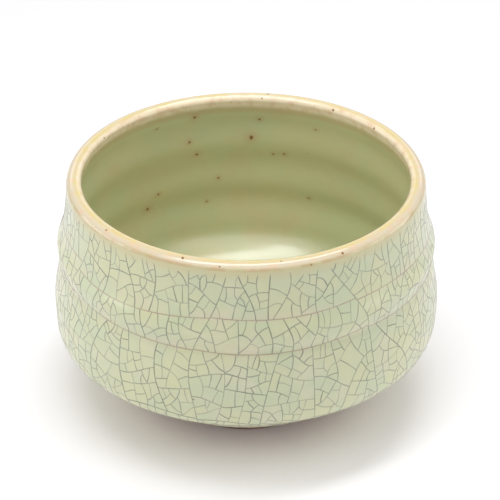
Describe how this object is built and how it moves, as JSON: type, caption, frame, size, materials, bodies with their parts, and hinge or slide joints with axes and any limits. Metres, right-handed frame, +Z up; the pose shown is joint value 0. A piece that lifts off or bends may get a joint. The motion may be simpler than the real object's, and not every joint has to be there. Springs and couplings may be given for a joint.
{
  "type": "matcha bowl",
  "caption": "Round matcha tea bowl with softly ringed walls, crackled pale celadon glaze outside, an amber glazed lip and a low bare clay foot ring.",
  "frame": {"origin": "centre of the foot ring's underside, on the table", "axes": "+Z up along the bowl's axis of turning; the bowl is round, so X and Y are interchangeable"},
  "size_m": [0.122, 0.122, 0.079],
  "materials": {
    "stoneware": "matte bare stoneware clay",
    "foot_clay": "matte bare clay, iron brown where it was trimmed",
    "crackled_celadon": "satin pale green glaze with a stained crackle network",
    "amber_glaze": "glossy honey coloured glaze",
    "inside_celadon": "satin olive green glaze with brown iron specks",
    "crackle_stain": "grey green stain in the glaze's crackle lines",
    "iron_spots": "brown iron spots in the glaze"
  },
  "bodies": {
    "root": {"clay_body": "stoneware", "foot_ring": "foot_clay", "outer_glaze": "crackled_celadon", "rim_glaze": "amber_glaze", "inner_glaze": "inside_celadon"}
  },
  "joints": []
}
